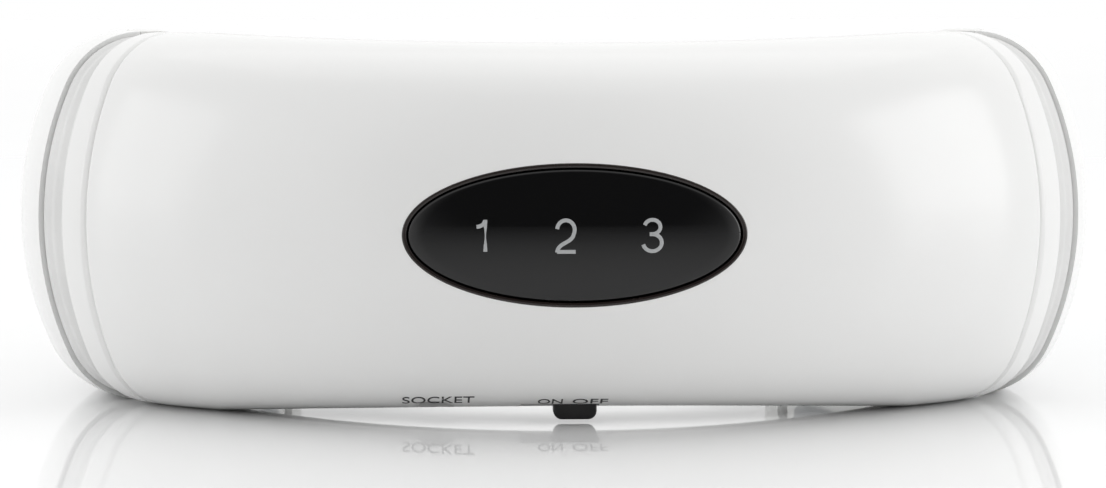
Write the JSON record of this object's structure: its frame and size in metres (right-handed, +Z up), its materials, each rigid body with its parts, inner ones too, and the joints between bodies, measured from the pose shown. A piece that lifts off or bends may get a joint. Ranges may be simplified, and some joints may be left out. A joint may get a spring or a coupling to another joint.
{
  "type": "neck massager",
  "caption": "Horseshoe-shaped battery neck massager with curved nape housing, oval display window, sprung electrodes and two arms on flexible joints.",
  "frame": {"origin": "centre of the bounding box on the ground plane that the massager lies on", "axes": "+Z up, -Y out of the nape face towards the viewer, +Y out of the mouth between the arms, +X to the viewer's right"},
  "size_m": [0.1506, 0.1379, 0.0508],
  "materials": {
    "shell_white": "glossy white ABS",
    "inner_white": "satin white ABS",
    "rim_white": "glossy white ABS",
    "window_black": "glossy black smoked acrylic",
    "guide_black": "matt black",
    "led": "clear epoxy",
    "board_green": "solder mask",
    "chip_black": "moulded epoxy",
    "ferrite": "ferrite and winding tape",
    "capacitor_sleeve": "shrink sleeve",
    "connector_ivory": "nylon",
    "switch_metal": "tinned steel shell",
    "knob_black": "black plastic",
    "socket_black": "black plastic",
    "electrode_steel": "polished stainless steel",
    "clip_steel": "spring steel",
    "seal_grey": "soft silicone",
    "spring_steel": "spring steel",
    "hinge_steel": "zinc plated steel",
    "joint_white": "soft white elastomer",
    "screw_steel": "zinc plated",
    "lead_red": "insulated wire",
    "lead_grey": "insulated wire",
    "cushion_grey": "soft foam skin",
    "cell_wrap": "printed sleeve",
    "contact_nickel": "nickel plated",
    "key_grey": "moulded key"
  },
  "bodies": {
    "housing": {"outer_cover": "shell_white", "inner_cover": "inner_white", "end_rim_left": "rim_white", "end_rim_right": "rim_white", "display_window": "window_black", "light_guide": "guide_black", "indicator_leds": "led", "main_board": "board_green", "control_chip": "chip_black", "pulse_transformer": "ferrite", "capacitors": "capacitor_sleeve", "buzzer": "chip_black", "lead_connectors": "connector_ivory", "switch_body": "switch_metal", "output_socket": "socket_black", "electrode_seal_left": "seal_grey", "electrode_seal_right": "seal_grey", "electrode_spring_left": "spring_steel", "electrode_spring_right": "spring_steel", "hinge_bracket_left": "hinge_steel", "hinge_bracket_right": "hinge_steel", "hinge_pin_left": "screw_steel", "hinge_pin_right": "screw_steel", "hinge_spring_left": "spring_steel", "hinge_spring_right": "spring_steel", "flexible_joint_left": "joint_white", "flexible_joint_right": "joint_white", "cover_screws": "screw_steel", "battery_leads": "lead_red", "key_leads": "lead_grey"},
    "arm_left_body": {"hinge_leaf_left": "hinge_steel", "arm_outer_left": "shell_white", "arm_inner_left": "inner_white", "arm_pad_left": "cushion_grey", "arm_screws_left": "screw_steel", "battery_cells": "cell_wrap", "battery_contacts": "contact_nickel", "battery_springs": "spring_steel"},
    "arm_right_body": {"hinge_leaf_right": "hinge_steel", "arm_outer_right": "shell_white", "arm_inner_right": "inner_white", "arm_pad_right": "cushion_grey", "arm_screws_right": "screw_steel", "key_board": "board_green", "key_domes": "contact_nickel"},
    "battery_lid": {"battery_cover": "shell_white"},
    "mode_button": {"mode_key": "key_grey"},
    "stronger_button": {"stronger_key": "key_grey"},
    "weaker_button": {"weaker_key": "key_grey"},
    "power_slider": {"switch_knob": "knob_black"},
    "electrode_left_body": {"electrode_left": "electrode_steel", "electrode_clip_left": "clip_steel"},
    "electrode_right_body": {"electrode_right": "electrode_steel", "electrode_clip_right": "clip_steel"}
  },
  "joints": [
    {"name": "arm_left_open", "type": "hinge", "parent": "housing", "child": "arm_left_body", "pos_m": [-0.05771, -0.02983, 0.0254], "axis": [0, 0, 1], "range_deg": [0, 14], "stiffness_Nm_per_rad": 0.6, "springref_deg": -20.05, "deforming": ["flexible_joint_left", "hinge_spring_left", "battery_leads"]},
    {"name": "arm_right_open", "type": "hinge", "parent": "housing", "child": "arm_right_body", "pos_m": [0.05771, -0.02983, 0.0254], "axis": [0, 0, -1], "range_deg": [0, 14], "stiffness_Nm_per_rad": 0.6, "springref_deg": -20.05, "deforming": ["flexible_joint_right", "hinge_spring_right", "key_leads"]},
    {"name": "power_slide", "type": "slide", "parent": "housing", "child": "power_slider", "axis": [-1, 0, 0], "range_m": [0, 0.004]},
    {"name": "electrode_left_press", "type": "slide", "parent": "housing", "child": "electrode_left_body", "axis": [-0.3907, -0.9205, 0], "range_m": [0, 0.002], "stiffness_N_per_m": 1200, "springref_m": -0.0015, "deforming": ["electrode_spring_left"]},
    {"name": "electrode_right_press", "type": "slide", "parent": "housing", "child": "electrode_right_body", "axis": [0.3907, -0.9205, 0], "range_m": [0, 0.002], "stiffness_N_per_m": 1200, "springref_m": -0.0015, "deforming": ["electrode_spring_right"]},
    {"name": "battery_cover_off", "type": "slide", "parent": "arm_left_body", "child": "battery_lid", "axis": [-0.9836, 0.1805, 0], "range_m": [0, 0.012]},
    {"name": "mode_press", "type": "slide", "parent": "arm_right_body", "child": "mode_button", "axis": [-0.9836, -0.1805, 0], "range_m": [0, 0.0008], "stiffness_N_per_m": 900, "springref_m": -0.0006},
    {"name": "stronger_press", "type": "slide", "parent": "arm_right_body", "child": "stronger_button", "axis": [-0.9836, -0.1805, 0], "range_m": [0, 0.0008], "stiffness_N_per_m": 900, "springref_m": -0.0006},
    {"name": "weaker_press", "type": "slide", "parent": "arm_right_body", "child": "weaker_button", "axis": [-0.9836, -0.1805, 0], "range_m": [0, 0.0008], "stiffness_N_per_m": 900, "springref_m": -0.0006}
  ]
}
